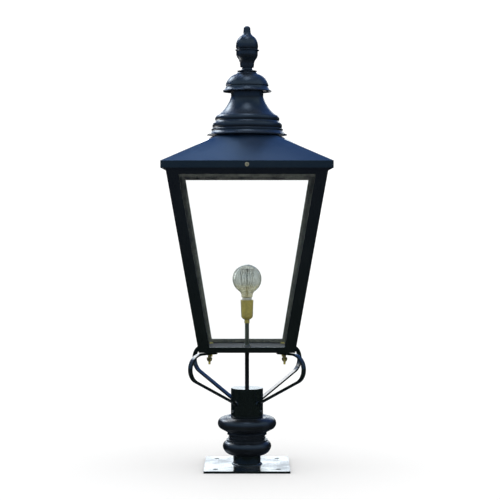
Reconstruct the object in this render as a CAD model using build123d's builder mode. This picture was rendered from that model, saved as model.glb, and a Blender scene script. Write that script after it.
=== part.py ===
from build123d import *
from math import asin, cos, pi, radians, sin, sqrt
import os

os.makedirs("parts", exist_ok=True)

# Post top lantern, millimetres, +Z up, front towards -Y.
# The origin is the middle of the base plate's underside. Every height above the plate is
# measured from a datum, which lies a little above the origin.

# --- Driving dimensions: pedestal ---
DATUM = 5.0                 # height of the datum above the plate's underside
PLATE_SIZE = 234.0          # square base plate
PLATE_THICKNESS = 6.0
PLATE_CORNER = 3.0
BOLT_SPACING = 170.0        # four holes on a square
BOLT_HOLE_DIA = 14.0
TUBE_DIA = 76.1             # standard tube, the spigot that the lantern stands on
TUBE_WALL = 3.2
TUBE_TOP = 196.0
WELD_LEG = 4.0
WELD_ROOT = 1.0             # how far the weld's profile overlaps the tube's wall
KNOP_BOTTOM = 27.0
COLLAR_SEAT = 130.0         # flat on top of the knop

# --- Driving dimensions: collar, arms and stem ---
COLLAR_DIA = 88.9
COLLAR_WALL = 5.0
COLLAR_TOP = 212.0
DISC_THICKNESS = 4.0
SET_SCREW_DIA = 8.0
SET_SCREW_HEIGHT = 149.0
SET_SCREW_PROUD = 3.0
SET_SCREW_ANGLE = 90.0      # first of three, from +X
SET_SCREW_SOCKET = 2.3      # from the middle to a corner of the hexagon
SET_SCREW_SOCKET_DEPTH = 4.0
SCREW_TIP_GAP = 0.3         # slack between a screw's tip and what it bears on
ARM_WIDTH = 13.0
ARM_THICKNESS = 5.0
ARM_BEND_RADIUS = 38.4
ARM_REACH = 213.0           # middle of the bar at its furthest from the axis
ARM_INNER_END = 119.0
ARM_SLOPE = 26.0            # straight run, degrees above level
ARM_WASHER_DIA = 18.0       # packing between each arm and the rails
ARM_WASHER_THICKNESS = 2.5
STEM_DIA = 12.0
STEM_BORE = 9.0
STEM_BOTTOM = 199.0
STEM_TOP = 404.0
LOCKNUT_FLATS = 17.0
LOCKNUT_HEIGHT = 5.0

# --- Driving dimensions: glazed body ---
BODY_BOTTOM = 321.0
BODY_TOP = 832.5
BODY_BOTTOM_WIDTH = 258.0
BODY_SPREAD = 0.1704        # outward lean of each side, mm per mm of height
SHEET = 3.0                 # thickness of posts and rails, measured level
POST_WIDTH = 31.0
BOTTOM_RAIL_TOP = 336.0
TOP_RAIL_BOTTOM = 796.3
BOTTOM_LEDGE = 34.0         # inward flange of a bottom rail
TOP_LEDGE = 18.0
PANE_THICKNESS = 3.0
PANE_LAP = 9.0              # how far a pane reaches behind its frame
PANE_BOTTOM = 327.0
PANE_TOP = 812.0
BEAD_THICKNESS = 4.0
TOP_BEAD_BOTTOM = 790.0
BEAD_JOINT = 0.2            # open joint between two beads
TRAY_WIDTH = 236.0
TRAY_THICKNESS = 1.5
STUD_OFFSET = 101.0         # studs stand on a square of twice this
STUD_DIA = 6.0
STUD_TIP = 287.5
STUD_HEAD_DIA = 12.0
STUD_HEAD_HEIGHT = 3.5
STUD_HEAD_TAPER = 20.0      # degrees
NUT_FLATS = 13.0
NUT_BOSS_DIA = 8.5
NUT_SHOULDER = 306.0
NUT_TAPER_TOP = 300.5
NUT_TAPER = 24.0            # degrees
NUT_BOTTOM = 295.5

# --- Driving dimensions: canopy and chimney ---
EAVES_WIDTH = 450.0
FASCIA_BOTTOM = 812.3
FASCIA_TOP = 831.0
FASCIA_SHEET = 1.5
HEM_HEIGHT = 4.0
ROOF_TOP = 915.0
ROOF_NECK_RADIUS = 78.0
ROOF_SHEET_HEIGHT = 2.3     # sheet thickness measured straight up
ROOF_MOUTH_RADIUS = 75.0
RING_TOP = 962.5
CHIMNEY_TOP = 1040.0
CHIMNEY_NECK_RADIUS = 45.0
CHIMNEY_SHEET = 2.0
CAP_TOP = 1083.5
CAP_SHEET = 2.5
SPIDER_WIDTH = 14.0
SPIDER_THICKNESS = 3.0
SPIDER_TAB = 4.0            # thickness of the tabs that turn down inside the chimney
SPIDER_TAB_BOTTOM = 1025.0
SPACER_DIA = 14.0
ROD_DIA = 8.0
ROD_BOTTOM = 1026.0
ROD_TOP = 1122.0
FINIAL_TOP = 1208.0
ROD_NUT_FLATS = 13.0
ROD_NUT_HEIGHT = 6.5
HINGE_X = 110.0
HINGE_WIDTH = 40.0
HINGE_AXIS_Y = 230.0
HINGE_AXIS_Z = 809.0
KNUCKLE_RADIUS = 4.5
KNUCKLE_GAP = 0.4
MIDDLE_KNUCKLE = 16.0
HINGE_PIN_RADIUS = 2.5
PIN_CLEARANCE = 0.05
PIN_HEAD_RADIUS = 3.4
PIN_HEAD_LENGTH = 1.5
LEAF_THICKNESS = 2.5
FRAME_LEAF_BOTTOM = 798.0   # hidden from the front by the top rail
FRAME_LEAF_TOP = 828.0
CANOPY_LEAF_BOTTOM = 814.3
CANOPY_LEAF_TOP = 829.0
CANOPY_SCREW_HEIGHT = 821.0
CANOPY_SCREW_DIA = 6.0
CANOPY_SCREW_HEAD_DIA = 11.0
CANOPY_SCREW_HEAD = 4.0
CANOPY_SCREW_EDGE = 1.0     # rounding of the head
CANOPY_SCREW_SOCKET = 2.8   # from the middle to a corner of the hexagon
CANOPY_SCREW_SOCKET_DEPTH = 3.0
CANOPY_SCREW_SLACK = 1.3
WELD_NUT_WIDTH = 12.0
WELD_NUT_HEIGHT = 9.0
WELD_NUT_THICKNESS = 4.0

# --- Driving dimensions: lamp ---
HOLDER_FOOT_RADIUS = 16.2
HOLDER_MOUTH_RADIUS = 17.6
HOLDER_WALL = 1.2
HOLDER_BOTTOM = 413.5
HOLDER_TOP = 455.0
HOLDER_BEAD = 1.5
INSERT_FLOOR = 428.0
INSERT_TOP = 453.0
CAP_CLEARANCE = 0.4
WIRE_HOLE_DIA = 3.2
WIRE_HOLE_SPACING = 12.0
CONTACT_SHEET = 0.6
CONTACT_RISE = 2.0
CONTACT_WIDTH = 5.0
BULB_CAP_RADIUS = 13.25     # 26.5 mm screw cap
THREAD_PITCH = 3.6
THREAD_DEPTH = 0.8
THREAD_TURNS = 5
THREAD_START = 437.0
BULB_CAP_TOP = 461.0
CAP_WALL = 1.3              # screw cap, from its crests to its inside
BULB_RADIUS = 40.0
BULB_CENTRE = 513.0
BULB_NECK_RADIUS = 15.5
BULB_NECK_HEIGHT = 463.5
NECK_LAP = 3.0              # how far the neck reaches into the cap
THROAT_RADIUS = 16.0
GLASS_WALL = 1.0
FILAMENT_STRANDS = 12
FILAMENT_RADIUS = 0.4
FILAMENT_TOP = 539.0
FILAMENT_TOP_RADIUS = 20.0
FILAMENT_BOTTOM = 488.0
FILAMENT_BOTTOM_RADIUS = 15.0
HOOK_RADIUS = 0.5
MOUNT_ROD_RADIUS = 1.6
HUB_RADIUS = 3.0            # bead on the mount's rod that the hooks stand in
HUB_HEIGHT = 2.5

# The front side and the front right corner are drawn; the others are turned copies.
SIDES = {"front": 0, "right": 90, "back": 180, "left": 270}
CORNERS = {"front_right": 0, "back_right": 90, "back_left": 180, "front_left": 270}

# The plane that turned profiles and the front's fittings are drawn on: across and up.
PROFILE = Plane(origin=(0, 0, DATUM), x_dir=(1, 0, 0), z_dir=(0, -1, 0))


def level(height):
    """A horizontal plane at a height above the datum."""
    return Plane.XY.offset(DATUM + height)


def end_on(x):
    """An upright plane across X: from front to back and up."""
    return Plane(origin=(x, 0, DATUM), x_dir=(0, 1, 0), z_dir=(1, 0, 0))


def half_width(height):
    """Half of the glazed body's outer width at a height."""
    return BODY_BOTTOM_WIDTH / 2 + BODY_SPREAD * (height - BODY_BOTTOM)


def crown(radius, base, top):
    """Three points of a round end centred on the axis, from its edge to its top."""
    rise = top - base
    sphere = (radius ** 2 + rise ** 2) / (2 * rise)
    halfway = asin(radius / sphere) / 2
    return (radius, base), (sphere * sin(halfway), top - sphere * (1 - cos(halfway))), (0, top)


def leaning_piece(outline, low, high):
    """A bar or plate that leans with the body: one outline at two heights, lofted."""
    with BuildPart() as piece:
        for height in (low, high):
            with BuildSketch(level(height)):
                with BuildLine():
                    Polyline(*outline(half_width(height)), close=True)
                make_face()
        loft(ruled=True)
    return piece.part


def front_bar(width, near, far):
    """Outline of a bar along the front: half its length, and its depths behind the face."""
    def outline(w):
        half = width(w)
        return [(-half, -w + near), (half, -w + near), (half, -w + far), (-half, -w + far)]
    return outline


# ---------------------------------------------------------------- pedestal

with BuildPart() as base_plate:
    with BuildSketch():
        RectangleRounded(PLATE_SIZE, PLATE_SIZE, PLATE_CORNER)
        Circle(TUBE_DIA / 2 - TUBE_WALL, mode=Mode.SUBTRACT)
        with GridLocations(BOLT_SPACING, BOLT_SPACING, 2, 2):
            Circle(BOLT_HOLE_DIA / 2, mode=Mode.SUBTRACT)
    extrude(amount=PLATE_THICKNESS)
base_plate.part.label = "base_plate"
export_step(base_plate.part, "parts/base_plate.step")

plate_top = PLATE_THICKNESS - DATUM
with BuildPart() as spigot_tube:
    with BuildSketch(level(plate_top)):
        Circle(TUBE_DIA / 2)
        Circle(TUBE_DIA / 2 - TUBE_WALL, mode=Mode.SUBTRACT)
    extrude(amount=TUBE_TOP - plate_top)
    with BuildSketch(PROFILE):
        with BuildLine():
            Polyline(
                (TUBE_DIA / 2 - WELD_ROOT, plate_top),
                (TUBE_DIA / 2 + WELD_LEG, plate_top),
                (TUBE_DIA / 2, plate_top + WELD_LEG),
                (TUBE_DIA / 2 - WELD_ROOT, plate_top + WELD_LEG),
                close=True,
            )
        make_face()
    revolve(axis=Axis.Z)
spigot_tube.part.label = "spigot_tube"
export_step(spigot_tube.part, "parts/spigot_tube.step")

# The knop is a turned casting: two fat rings with three fine fillets in the waist between.
with BuildPart() as knop:
    with BuildSketch(PROFILE):
        with BuildLine():
            Line((TUBE_DIA / 2, KNOP_BOTTOM), (41, KNOP_BOTTOM))
            ThreePointArc((41, KNOP_BOTTOM), (60.5, 36.3), (67, 49.5))
            ThreePointArc((67, 49.5), (64.8, 59), (57, 66))
            Polyline((57, 66), (57, 69.5), (50, 71.5), (50, 73.5), (51.8, 74.5), (51.8, 76.5))
            Polyline((51.8, 76.5), (49.8, 77.5), (49.8, 82), (54.5, 83.5), (54.5, 86.5), (53, 89))
            ThreePointArc((53, 89), (60.5, 93.4), (70, 98.5))
            ThreePointArc((70, 98.5), (80.8, 115.5), (68, 131))
            ThreePointArc((68, 131), (59, 133), (50, COLLAR_SEAT))
            Line((50, COLLAR_SEAT), (TUBE_DIA / 2, COLLAR_SEAT))
            Line((TUBE_DIA / 2, COLLAR_SEAT), (TUBE_DIA / 2, KNOP_BOTTOM))
        make_face()
    revolve(axis=Axis.Z)
knop.part.label = "knop"
export_step(knop.part, "parts/knop.step")

# ---------------------------------------------------------------- collar

collar_radius = COLLAR_DIA / 2
sleeve_top = COLLAR_TOP - DISC_THICKNESS
screw_directions = [SET_SCREW_ANGLE + 120 * i for i in range(3)]
screw_level = Vector(0, 0, DATUM + SET_SCREW_HEIGHT)

with BuildPart() as collar_sleeve:
    with BuildSketch(level(COLLAR_SEAT)):
        Circle(collar_radius)
        Circle(collar_radius - COLLAR_WALL, mode=Mode.SUBTRACT)
    extrude(amount=sleeve_top - COLLAR_SEAT)
    for angle in screw_directions:
        outward = Vector(1, 0, 0).rotate(Axis.Z, angle)
        with BuildSketch(Plane(origin=screw_level, z_dir=outward)):
            Circle(SET_SCREW_DIA / 2)
        extrude(amount=COLLAR_DIA, mode=Mode.SUBTRACT)
collar_sleeve.part.label = "collar_sleeve"
export_step(collar_sleeve.part, "parts/collar_sleeve.step")

with BuildPart() as collar_disc:
    with BuildSketch(level(sleeve_top)):
        Circle(collar_radius)
        Circle(STEM_DIA / 2, mode=Mode.SUBTRACT)
    extrude(amount=DISC_THICKNESS)
collar_disc.part.label = "collar_disc"
export_step(collar_disc.part, "parts/collar_disc.step")

screw_tip = TUBE_DIA / 2 + SCREW_TIP_GAP
screw_end = collar_radius + SET_SCREW_PROUD
with BuildPart() as set_screws:
    for angle in screw_directions:
        outward = Vector(1, 0, 0).rotate(Axis.Z, angle)
        with BuildSketch(Plane(origin=screw_level + outward * screw_tip, z_dir=outward)):
            Circle(SET_SCREW_DIA / 2)
        extrude(amount=screw_end - screw_tip)
        with BuildSketch(Plane(origin=screw_level + outward * screw_end, z_dir=outward)):
            RegularPolygon(SET_SCREW_SOCKET, 6)
        extrude(amount=-SET_SCREW_SOCKET_DEPTH, mode=Mode.SUBTRACT)
set_screws.part.label = "set_screws"
export_step(set_screws.part, "parts/set_screws.step")

# ---------------------------------------------------------------- arms

arm_top = BODY_BOTTOM - ARM_WASHER_THICKNESS
bar_height = arm_top - ARM_THICKNESS / 2
bend_start = ARM_REACH - ARM_BEND_RADIUS
stud_reach = STUD_OFFSET * sqrt(2)

for corner, turn in CORNERS.items():
    outward = Vector(1, 0, 0).rotate(Axis.Z, turn - 45)
    across = Vector(0, -1, 0).rotate(Axis.Z, turn - 45)
    with BuildPart() as arm:
        with BuildSketch(Plane(origin=(0, 0, DATUM), x_dir=outward, z_dir=across)):
            with BuildLine():
                top_run = Line((ARM_INNER_END, bar_height), (bend_start, bar_height))
                bend = JernArc(top_run @ 1, top_run % 1, ARM_BEND_RADIUS, ARM_SLOPE - 180)
                PolarLine(bend @ 1, bend_start, direction=bend % 1)
            trace(line_width=ARM_THICKNESS)
        extrude(amount=ARM_WIDTH / 2, both=True)
        with BuildSketch(level(0)):
            Circle(collar_radius)
        extrude(amount=COLLAR_TOP, mode=Mode.SUBTRACT)
        stud_spot = outward * stud_reach
        with BuildSketch(level(arm_top)):
            with Locations((stud_spot.X, stud_spot.Y)):
                Circle(STUD_DIA / 2)
        extrude(amount=-ARM_THICKNESS, mode=Mode.SUBTRACT)
    arm.part.label = f"arm_{corner}"
    export_step(arm.part, f"parts/arm_{corner}.step")

with BuildPart() as arm_washers:
    with BuildSketch(level(arm_top)):
        with GridLocations(2 * STUD_OFFSET, 2 * STUD_OFFSET, 2, 2):
            Circle(ARM_WASHER_DIA / 2)
            Circle(STUD_DIA / 2, mode=Mode.SUBTRACT)
    extrude(amount=ARM_WASHER_THICKNESS)
arm_washers.part.label = "arm_washers"
export_step(arm_washers.part, "parts/arm_washers.step")

# ---------------------------------------------------------------- glazed body

for corner, turn in CORNERS.items():

    def post_outline(w):
        inner, edge = w - SHEET, w - POST_WIDTH
        return [(w, -w), (w, -edge), (inner, -edge), (inner, -inner), (edge, -inner), (edge, -w)]

    with BuildPart() as post:
        add(leaning_piece(post_outline, BODY_BOTTOM, BODY_TOP), rotation=(0, 0, turn))
    post.part.label = f"post_{corner}"
    export_step(post.part, f"parts/post_{corner}.step")

for side, turn in SIDES.items():
    long_side = side in ("front", "back")

    def bottom_ledge(w):
        inner = w - SHEET
        edge = half_width(BODY_BOTTOM) - SHEET - BOTTOM_LEDGE
        half = inner if long_side else edge
        return [(-half, -inner), (half, -inner), (half, -edge), (-half, -edge)]

    def top_ledge(w):
        inner = w - SHEET
        edge = half_width(BODY_TOP) - SHEET - TOP_LEDGE
        half = inner if long_side else edge
        return [(-half, -inner), (half, -inner), (half, -edge), (-half, -edge)]

    face_bar = front_bar(lambda w: w - POST_WIDTH, 0, SHEET)
    with BuildPart() as bottom_rail:
        add(leaning_piece(face_bar, BODY_BOTTOM, BOTTOM_RAIL_TOP), rotation=(0, 0, turn))
        ledge = leaning_piece(bottom_ledge, BODY_BOTTOM, BODY_BOTTOM + SHEET)
        add(ledge, rotation=(0, 0, turn))
        with BuildSketch(level(BODY_BOTTOM)):
            with GridLocations(2 * STUD_OFFSET, 2 * STUD_OFFSET, 2, 2):
                Circle(STUD_DIA / 2)
        extrude(amount=SHEET, mode=Mode.SUBTRACT)
    bottom_rail.part.label = f"bottom_rail_{side}"
    export_step(bottom_rail.part, f"parts/bottom_rail_{side}.step")

    with BuildPart() as top_rail:
        add(leaning_piece(face_bar, TOP_RAIL_BOTTOM, BODY_TOP), rotation=(0, 0, turn))
        ledge = leaning_piece(top_ledge, BODY_TOP - SHEET, BODY_TOP)
        add(ledge, rotation=(0, 0, turn))
    top_rail.part.label = f"top_rail_{side}"
    export_step(top_rail.part, f"parts/top_rail_{side}.step")

    pane_bar = front_bar(lambda w: w - POST_WIDTH + PANE_LAP, SHEET, SHEET + PANE_THICKNESS)
    with BuildPart() as pane:
        add(leaning_piece(pane_bar, PANE_BOTTOM, PANE_TOP), rotation=(0, 0, turn))
    pane.part.label = f"pane_{side}"
    export_step(pane.part, f"parts/pane_{side}.step")

    # Four beads hold each pane from inside: across the top, across the bottom, up each edge.
    near = SHEET + PANE_THICKNESS
    far = near + BEAD_THICKNESS
    cross_bead = front_bar(lambda w: w - POST_WIDTH + PANE_LAP, near, far)

    def edge_bead(sign):
        def outline(w):
            inner = sign * (w - POST_WIDTH)
            outer = sign * (w - POST_WIDTH + PANE_LAP)
            return [(inner, -w + near), (outer, -w + near), (outer, -w + far), (inner, -w + far)]
        return outline

    edge_low = BOTTOM_RAIL_TOP + BEAD_JOINT
    edge_high = TOP_BEAD_BOTTOM - BEAD_JOINT
    with BuildPart() as beads:
        add(leaning_piece(cross_bead, PANE_BOTTOM, BOTTOM_RAIL_TOP), rotation=(0, 0, turn))
        add(leaning_piece(cross_bead, TOP_BEAD_BOTTOM, PANE_TOP), rotation=(0, 0, turn))
        for sign in (-1, 1):
            add(leaning_piece(edge_bead(sign), edge_low, edge_high), rotation=(0, 0, turn))
    beads.part.label = f"glazing_beads_{side}"
    export_step(beads.part, f"parts/glazing_beads_{side}.step")

tray_bottom = BODY_BOTTOM + SHEET
tray_top = tray_bottom + TRAY_THICKNESS
with BuildPart() as floor_tray:
    with BuildSketch(level(tray_bottom)):
        Rectangle(TRAY_WIDTH, TRAY_WIDTH)
        Circle(STEM_DIA / 2, mode=Mode.SUBTRACT)
        with GridLocations(2 * STUD_OFFSET, 2 * STUD_OFFSET, 2, 2):
            Circle(STUD_DIA / 2, mode=Mode.SUBTRACT)
    extrude(amount=TRAY_THICKNESS)
floor_tray.part.label = "floor_tray"
export_step(floor_tray.part, "parts/floor_tray.step")

with BuildPart() as body_studs:
    with BuildSketch(level(STUD_TIP)):
        with GridLocations(2 * STUD_OFFSET, 2 * STUD_OFFSET, 2, 2):
            Circle(STUD_DIA / 2)
    extrude(amount=tray_top - STUD_TIP)
    with BuildSketch(level(tray_top)):
        with GridLocations(2 * STUD_OFFSET, 2 * STUD_OFFSET, 2, 2):
            Circle(STUD_HEAD_DIA / 2)
    extrude(amount=STUD_HEAD_HEIGHT, taper=STUD_HEAD_TAPER)
body_studs.part.label = "body_studs"
export_step(body_studs.part, "parts/body_studs.step")

# A nut is a hexagon with a round boss above, drawn in towards its lower end.
nut_top = arm_top - ARM_THICKNESS
with BuildPart() as body_nuts:
    with BuildSketch(level(NUT_SHOULDER)):
        with GridLocations(2 * STUD_OFFSET, 2 * STUD_OFFSET, 2, 2):
            Circle(NUT_BOSS_DIA / 2)
    extrude(amount=nut_top - NUT_SHOULDER)
    with BuildSketch(level(NUT_TAPER_TOP)):
        with GridLocations(2 * STUD_OFFSET, 2 * STUD_OFFSET, 2, 2):
            RegularPolygon(NUT_FLATS / 2, 6, major_radius=False)
    extrude(amount=NUT_SHOULDER - NUT_TAPER_TOP)
    with BuildSketch(-level(NUT_TAPER_TOP)):
        with GridLocations(2 * STUD_OFFSET, 2 * STUD_OFFSET, 2, 2):
            RegularPolygon(NUT_FLATS / 2, 6, major_radius=False)
    extrude(amount=NUT_TAPER_TOP - NUT_BOTTOM, taper=NUT_TAPER)
    with BuildSketch(level(NUT_BOTTOM)):
        with GridLocations(2 * STUD_OFFSET, 2 * STUD_OFFSET, 2, 2):
            Circle(STUD_DIA / 2)
    extrude(amount=nut_top - NUT_BOTTOM, mode=Mode.SUBTRACT)
body_nuts.part.label = "body_nuts"
export_step(body_nuts.part, "parts/body_nuts.step")

# ---------------------------------------------------------------- stem and lamp holder

with BuildPart() as stem:
    with BuildSketch(level(STEM_BOTTOM)):
        Circle(STEM_DIA / 2)
        Circle(STEM_BORE / 2, mode=Mode.SUBTRACT)
    extrude(amount=STEM_TOP - STEM_BOTTOM)
stem.part.label = "stem"
export_step(stem.part, "parts/stem.step")

with BuildPart() as stem_locknuts:
    for bottom in (sleeve_top - LOCKNUT_HEIGHT, tray_top):
        with BuildSketch(level(bottom)):
            RegularPolygon(LOCKNUT_FLATS / 2, 6, major_radius=False)
            Circle(STEM_DIA / 2, mode=Mode.SUBTRACT)
        extrude(amount=LOCKNUT_HEIGHT)
stem_locknuts.part.label = "stem_locknuts"
export_step(stem_locknuts.part, "parts/stem_locknuts.step")

with BuildPart() as holder_base:
    with BuildSketch(PROFILE):
        with BuildLine():
            Polyline(
                (STEM_DIA / 2, 391), (7.2, 391), (7.2, 401), (11, 402.6), (14.6, 406),
                (HOLDER_FOOT_RADIUS, 410), (HOLDER_FOOT_RADIUS, 412), (15.4, 412),
                (15.4, HOLDER_BOTTOM), (13.2, HOLDER_BOTTOM), (10, 407.5), (STEM_BORE / 2, 405.6),
                (STEM_BORE / 2, STEM_TOP), (STEM_DIA / 2, STEM_TOP), close=True,
            )
        make_face()
    revolve(axis=Axis.Z)
holder_base.part.label = "holder_base"
export_step(holder_base.part, "parts/holder_base.step")

shell_inner = HOLDER_FOOT_RADIUS - HOLDER_WALL
mouth_inner = HOLDER_MOUTH_RADIUS - HOLDER_WALL
with BuildPart() as holder_shell:
    with BuildSketch(PROFILE):
        with BuildLine():
            Polyline(
                (shell_inner, HOLDER_BOTTOM), (HOLDER_FOOT_RADIUS, HOLDER_BOTTOM),
                (HOLDER_MOUTH_RADIUS, HOLDER_TOP - HOLDER_BEAD),
                (HOLDER_MOUTH_RADIUS + HOLDER_BEAD / 3, HOLDER_TOP - HOLDER_BEAD / 2),
                (HOLDER_MOUTH_RADIUS, HOLDER_TOP), (mouth_inner, HOLDER_TOP), close=True,
            )
        make_face()
    revolve(axis=Axis.Z)
holder_shell.part.label = "holder_shell"
export_step(holder_shell.part, "parts/holder_shell.step")

with BuildPart() as holder_insert:
    with BuildSketch(level(HOLDER_BOTTOM)):
        Circle(shell_inner)
    extrude(amount=INSERT_FLOOR - HOLDER_BOTTOM)
    with BuildSketch(level(INSERT_FLOOR)):
        Circle(shell_inner)
        Circle(BULB_CAP_RADIUS + CAP_CLEARANCE, mode=Mode.SUBTRACT)
    extrude(amount=INSERT_TOP - INSERT_FLOOR)
    with BuildSketch(level(HOLDER_BOTTOM)):
        with GridLocations(WIRE_HOLE_SPACING, 0, 2, 1):
            Circle(WIRE_HOLE_DIA / 2)
    extrude(amount=INSERT_FLOOR - HOLDER_BOTTOM, mode=Mode.SUBTRACT)
holder_insert.part.label = "holder_insert"
export_step(holder_insert.part, "parts/holder_insert.step")

# The contact is a bent tab, flat on the insert's floor and sprung up under the bulb's tip.
tab_foot, tab_bend, tab_end = -7, -2, 3
tab_low, tab_high = INSERT_FLOOR + CONTACT_SHEET, INSERT_FLOOR + CONTACT_RISE
with BuildPart() as holder_contact:
    with BuildSketch(PROFILE):
        with BuildLine():
            Polyline(
                (tab_foot, INSERT_FLOOR), (tab_bend, INSERT_FLOOR), (tab_end, tab_high),
                (tab_end, tab_high + CONTACT_SHEET), (tab_bend, tab_low), (tab_foot, tab_low),
                close=True,
            )
        make_face()
    extrude(amount=CONTACT_WIDTH / 2, both=True)
holder_contact.part.label = "holder_contact"
export_step(holder_contact.part, "parts/holder_contact.step")

# ---------------------------------------------------------------- bulb

thread_profile = []
for i in range(THREAD_TURNS):
    root = THREAD_START + i * THREAD_PITCH
    thread_profile += [
        (BULB_CAP_RADIUS - THREAD_DEPTH, root),
        (BULB_CAP_RADIUS, root + 0.35 * THREAD_PITCH),
        (BULB_CAP_RADIUS, root + 0.65 * THREAD_PITCH),
    ]
thread_end = THREAD_START + THREAD_TURNS * THREAD_PITCH
cap_inner = BULB_CAP_RADIUS - CAP_WALL

with BuildPart() as bulb_cap:
    with BuildSketch(PROFILE):
        with BuildLine():
            Polyline(
                (0, 431), (4.5, 431), (5, 432), (9.5, 434), (10.5, 435.5),
                *thread_profile,
                (BULB_CAP_RADIUS - THREAD_DEPTH, thread_end), (BULB_CAP_RADIUS, thread_end + 2),
                (BULB_CAP_RADIUS, BULB_CAP_TOP), (cap_inner, BULB_CAP_TOP), (cap_inner, 437),
                (0, 434), close=True,
            )
        make_face()
    revolve(axis=Axis.Z)
bulb_cap.part.label = "bulb_cap"
export_step(bulb_cap.part, "parts/bulb_cap.step")


def throat_curve(inset):
    """The hollow curve from the bulb's neck to its globe: three points, from the neck up."""
    radius = THROAT_RADIUS + inset
    reach = BULB_NECK_RADIUS + THROAT_RADIUS
    height = BULB_CENTRE - sqrt((BULB_RADIUS + THROAT_RADIUS) ** 2 - reach ** 2)
    swing = asin(reach / (BULB_RADIUS + THROAT_RADIUS))
    half_lift = (pi / 2 - swing) / 2
    return (
        (reach - radius, height),
        (reach - radius * cos(half_lift), height + radius * sin(half_lift)),
        (reach - radius * sin(swing), height + radius * cos(swing)),
    )


inner_globe = BULB_RADIUS - GLASS_WALL
outer_throat = throat_curve(0)
inner_throat = throat_curve(GLASS_WALL)
neck_end = BULB_CAP_TOP - NECK_LAP
glass_top = BULB_CENTRE + BULB_RADIUS
with BuildPart() as bulb_glass:
    with BuildSketch(PROFILE):
        with BuildLine():
            Polyline((cap_inner, neck_end), (cap_inner, BULB_CAP_TOP),
                     (BULB_NECK_RADIUS, BULB_NECK_HEIGHT), outer_throat[0])
            ThreePointArc(*outer_throat)
            ThreePointArc(outer_throat[2], (BULB_RADIUS, BULB_CENTRE), (0, glass_top))
            Line((0, glass_top), (0, glass_top - GLASS_WALL))
            ThreePointArc((0, glass_top - GLASS_WALL), (inner_globe, BULB_CENTRE), inner_throat[2])
            ThreePointArc(*inner_throat)
            Polyline(inner_throat[0], (BULB_NECK_RADIUS - GLASS_WALL, BULB_NECK_HEIGHT),
                     (cap_inner - GLASS_WALL, BULB_CAP_TOP), (cap_inner - GLASS_WALL, neck_end),
                     (cap_inner, neck_end))
        make_face()
    revolve(axis=Axis.Z)
bulb_glass.part.label = "bulb_glass"
export_step(bulb_glass.part, "parts/bulb_glass.step")

# The glass mount is sealed into the bulb's neck by its flare.
flare = cap_inner - GLASS_WALL
rod_end = FILAMENT_TOP + 2
with BuildPart() as bulb_mount:
    with BuildSketch(PROFILE):
        with BuildLine():
            Polyline((0, neck_end), (flare, neck_end), (flare, neck_end + 2))
            ThreePointArc((flare, neck_end + 2), (5.2, 468), (4, 480))
            Polyline((4, 480), (2.5, 482), (MOUNT_ROD_RADIUS, 485), (MOUNT_ROD_RADIUS, rod_end))
            ThreePointArc(*crown(MOUNT_ROD_RADIUS, rod_end, rod_end + MOUNT_ROD_RADIUS))
            Line((0, rod_end + MOUNT_ROD_RADIUS), (0, neck_end))
        make_face()
    revolve(axis=Axis.Z)
bulb_mount.part.label = "bulb_mount"
export_step(bulb_mount.part, "parts/bulb_mount.step")


def cage_point(step):
    """The zigzag's corners: even ones on the upper hooks, odd ones on the lower."""
    angle = radians(360 / FILAMENT_STRANDS * (step + 0.5))
    if step % 2 == 0:
        reach, height = FILAMENT_TOP_RADIUS, FILAMENT_TOP
    else:
        reach, height = FILAMENT_BOTTOM_RADIUS, FILAMENT_BOTTOM
    return Vector(reach * cos(angle), reach * sin(angle), DATUM + height)


def wire(start, end, radius):
    """A straight round wire between two points."""
    with BuildPart() as piece:
        with BuildSketch(Plane(origin=start, z_dir=end - start)):
            RegularPolygon(radius, 8)
        extrude(amount=(end - start).length)
    return piece.part


with BuildPart() as bulb_filament:
    for step in range(FILAMENT_STRANDS - 1):
        add(wire(cage_point(step), cage_point(step + 1), FILAMENT_RADIUS))
bulb_filament.part.label = "bulb_filament"
export_step(bulb_filament.part, "parts/bulb_filament.step")

# The hooks' ends are notched to the strands that they carry.
with BuildPart() as bulb_supports:
    for step in range(FILAMENT_STRANDS):
        corner = cage_point(step)
        outward = Vector(corner.X, corner.Y, 0).normalized()
        root = outward * (HUB_RADIUS - HOOK_RADIUS) + Vector(0, 0, corner.Z)
        add(wire(root, corner - outward * FILAMENT_RADIUS, HOOK_RADIUS))
    for height in (FILAMENT_BOTTOM, FILAMENT_TOP):
        with BuildSketch(level(height - HUB_HEIGHT / 2)):
            Circle(HUB_RADIUS)
            Circle(MOUNT_ROD_RADIUS, mode=Mode.SUBTRACT)
        extrude(amount=HUB_HEIGHT)
    add(bulb_filament.part, mode=Mode.SUBTRACT)
bulb_supports.part.label = "bulb_supports"
export_step(bulb_supports.part, "parts/bulb_supports.step")

# ---------------------------------------------------------------- canopy


def roof_form(drop):
    """Square at the eaves and round at the neck, each edge ruled to a quarter of the circle."""
    reach = EAVES_WIDTH / 2
    neck = ROOF_NECK_RADIUS
    diagonal = neck / sqrt(2)
    with BuildPart() as form:
        with BuildSketch(level(FASCIA_TOP - drop)):
            with BuildLine():
                Polyline((reach, -reach), (reach, reach), (-reach, reach), (-reach, -reach), close=True)
            make_face()
        with BuildSketch(level(ROOF_TOP - drop)):
            with BuildLine():
                ThreePointArc((diagonal, -diagonal), (neck, 0), (diagonal, diagonal))
                ThreePointArc((diagonal, diagonal), (0, neck), (-diagonal, diagonal))
                ThreePointArc((-diagonal, diagonal), (-neck, 0), (-diagonal, -diagonal))
                ThreePointArc((-diagonal, -diagonal), (0, -neck), (diagonal, -diagonal))
            make_face()
        loft(ruled=True)
    return form.part


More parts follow.
